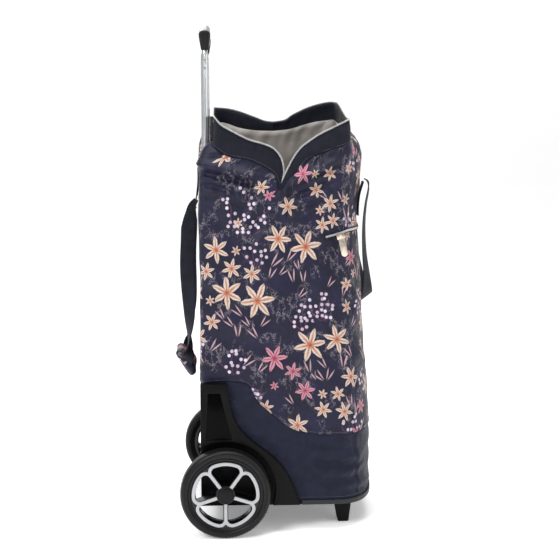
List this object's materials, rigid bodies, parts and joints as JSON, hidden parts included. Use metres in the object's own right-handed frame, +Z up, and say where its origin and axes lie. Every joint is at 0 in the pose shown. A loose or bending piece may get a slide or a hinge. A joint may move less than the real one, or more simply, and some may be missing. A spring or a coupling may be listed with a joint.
{
  "type": "shopping trolley on wheels",
  "caption": "Tall fabric shopping trolley on two spoked wheels and front feet, with an open zipped mouth, a telescoping twin-tube handle, webbing carry handles and a zipped front pocket.",
  "frame": {"origin": "on the floor, under the centre of the whole trolley's bounding box", "axes": "+X towards the front of the bag, away from the wheels and the handle; +Y to the bag's left; +Z up"},
  "size_m": [0.3865, 0.396, 0.958],
  "materials": {
    "steel": "satin",
    "tyre": "matte",
    "rim_black": "satin",
    "rim_silver": "metallic satin",
    "housing": "matte",
    "inlay": "fine matte",
    "board": "matte",
    "fixed_tube": "satin",
    "tube": "satin, fluted",
    "grip_black": "soft touch",
    "grip_grey": "satin",
    "print_fabric": "printed polyester",
    "base_fabric": "plain polyester",
    "band_fabric": "plain polyester",
    "binding": "woven",
    "zip_coil": "nylon coil",
    "zip_metal": "champagne satin",
    "webbing": "woven webbing"
  },
  "bodies": {
    "trolley": {"axle": "steel", "axle_clip_right": "steel", "axle_clip_left": "steel", "axle_washer_right": "steel", "axle_washer_left": "steel", "housing_right": "housing", "housing_left": "housing", "housing_inlay_right": "inlay", "housing_inlay_left": "inlay", "housing_bolts_right": "steel", "housing_bolts_left": "steel", "base_tray": "housing", "foot_right": "housing", "foot_left": "housing", "floor_board": "board", "back_board": "board", "fixed_tube_right": "fixed_tube", "fixed_tube_left": "fixed_tube", "tube_bracket": "housing", "bag_back": "print_fabric", "bag_side_right": "print_fabric", "bag_side_left": "print_fabric", "bag_front": "print_fabric", "base_side_right": "base_fabric", "base_side_left": "base_fabric", "base_front": "base_fabric", "hem_trim": "binding", "mouth_band_rear": "band_fabric", "mouth_band_front": "band_fabric", "mouth_zip_rear": "zip_coil", "mouth_zip_front": "zip_coil", "rear_guard": "binding", "mouth_slider": "zip_metal", "pocket_zip": "zip_coil", "front_tabs": "webbing", "rear_tabs": "webbing"},
    "wheel_right": {"tyre_right": "tyre", "rim_right": "rim_black", "rim_trim_right": "rim_silver", "hub_cap_right": "rim_black"},
    "wheel_left": {"tyre_left": "tyre", "rim_left": "rim_black", "rim_trim_left": "rim_silver", "hub_cap_left": "rim_black"},
    "handle": {"sliding_tube_right": "tube", "sliding_tube_left": "tube", "tube_rivets_right": "tube", "tube_rivets_left": "tube", "handle_neck_right": "tube", "handle_neck_left": "tube", "grip_end_right": "grip_black", "grip_end_left": "grip_black", "grip_centre": "grip_grey"},
    "button": {"release_button": "grip_black"},
    "mouth_pull": {"mouth_pull": "zip_metal"},
    "pocket_slider": {"pocket_slider": "zip_metal"},
    "pocket_pull": {"pocket_pull": "zip_metal"},
    "front_handle": {"front_handle": "webbing"},
    "rear_handle": {"rear_handle": "webbing"}
  },
  "joints": [
    {"name": "wheel_right_spin", "type": "hinge", "parent": "trolley", "child": "wheel_right", "pos_m": [-0.099, -0.18, 0.085], "axis": [0, 1, 0], "continuous": true},
    {"name": "wheel_left_spin", "type": "hinge", "parent": "trolley", "child": "wheel_left", "pos_m": [-0.099, 0.18, 0.085], "axis": [0, 1, 0], "continuous": true},
    {"name": "handle_slide", "type": "slide", "parent": "trolley", "child": "handle", "axis": [0, 0, 1], "range_m": [-0.13, 0]},
    {"name": "button_press", "type": "slide", "parent": "handle", "child": "button", "axis": [0, 0, 1], "range_m": [0, 0.004], "stiffness_N_per_m": 400, "springref_m": -0.0015},
    {"name": "mouth_pull_swing", "type": "hinge", "parent": "trolley", "child": "mouth_pull", "pos_m": [0.00597, 0.1565, 0.764], "axis": [1, 0, 0], "range_deg": [0, 150]},
    {"name": "pocket_slider_slide", "type": "slide", "parent": "trolley", "child": "pocket_slider", "axis": [0.9751, 0, 0.2216], "range_m": [-0.004, 0.014]},
    {"name": "pocket_pull_swing", "type": "hinge", "parent": "pocket_slider", "child": "pocket_pull", "pos_m": [0.117, -0.1581, 0.56427], "axis": [0.9751, 0, 0.2216], "range_deg": [-150, 0]},
    {"name": "front_handle_swing", "type": "hinge", "parent": "trolley", "child": "front_handle", "pos_m": [0.1707, 0, 0.666], "axis": [0, 1, 0], "range_deg": [-150, 0]},
    {"name": "rear_handle_swing", "type": "hinge", "parent": "trolley", "child": "rear_handle", "pos_m": [-0.151, 0, 0.618], "axis": [0, 1, 0], "range_deg": [0, 70]}
  ]
}
